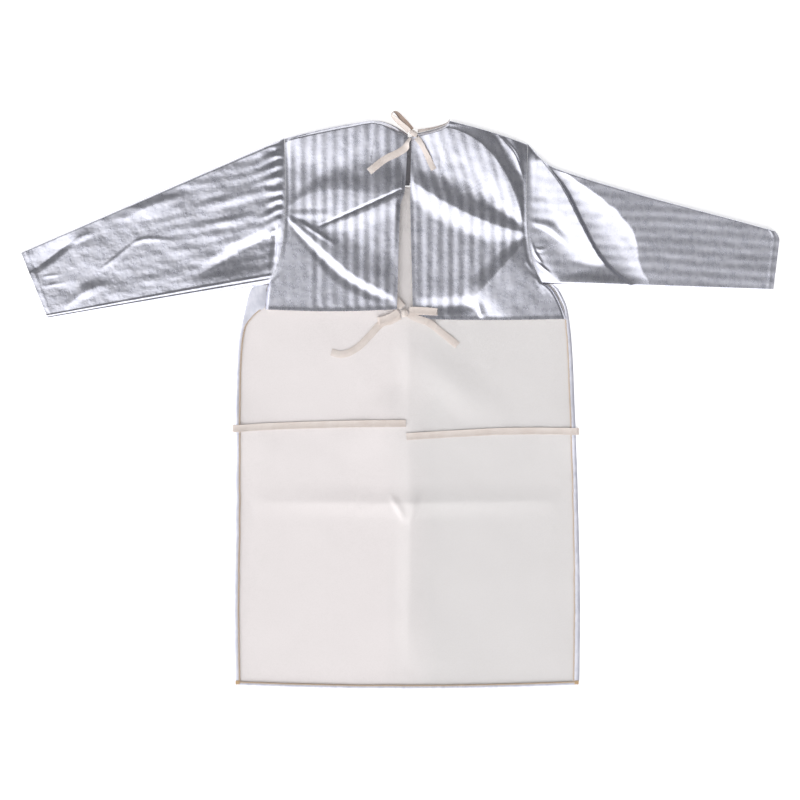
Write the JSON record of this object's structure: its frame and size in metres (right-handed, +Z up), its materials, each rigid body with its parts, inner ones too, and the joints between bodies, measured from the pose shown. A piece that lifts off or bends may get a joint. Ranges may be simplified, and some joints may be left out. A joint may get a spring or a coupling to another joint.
{
  "type": "heat protective coat apron",
  "caption": "Full length coat apron of aluminised cloth with sleeves, open at the back and closed by bows and waist ties, lying flat with its back up.",
  "frame": {"origin": "on the ground under the front panel, on the centre line, half way between the neck points and the bottom hem", "axes": "+X to the right seen from above, +Y towards the neck, +Z up from the ground, through the panel's inner side"},
  "size_m": [1.6021, 1.2256, 0.0331],
  "materials": {
    "silver": "aluminised cloth, crinkled metal film outside",
    "canvas": "raw cotton canvas, the inner side of the cloth",
    "tape": "woven cotton tape"
  },
  "bodies": {
    "root": {"front_panel": "canvas", "side_hem_left": "silver", "side_hem_right": "silver", "bottom_hem": "silver", "back_panel_left": "silver", "back_panel_right": "silver", "sleeve_left": "silver", "sleeve_right": "silver", "neck_tape": "tape", "neck_tail_left": "tape", "neck_tail_right": "tape", "neck_loop": "tape", "neck_knot": "tape", "back_tail_left": "tape", "back_tail_right": "tape", "back_loop_left": "tape", "back_loop_right": "tape", "back_tape": "tape", "back_knot": "tape", "waist_tie_left": "tape", "waist_tie_right": "tape"}
  },
  "joints": []
}
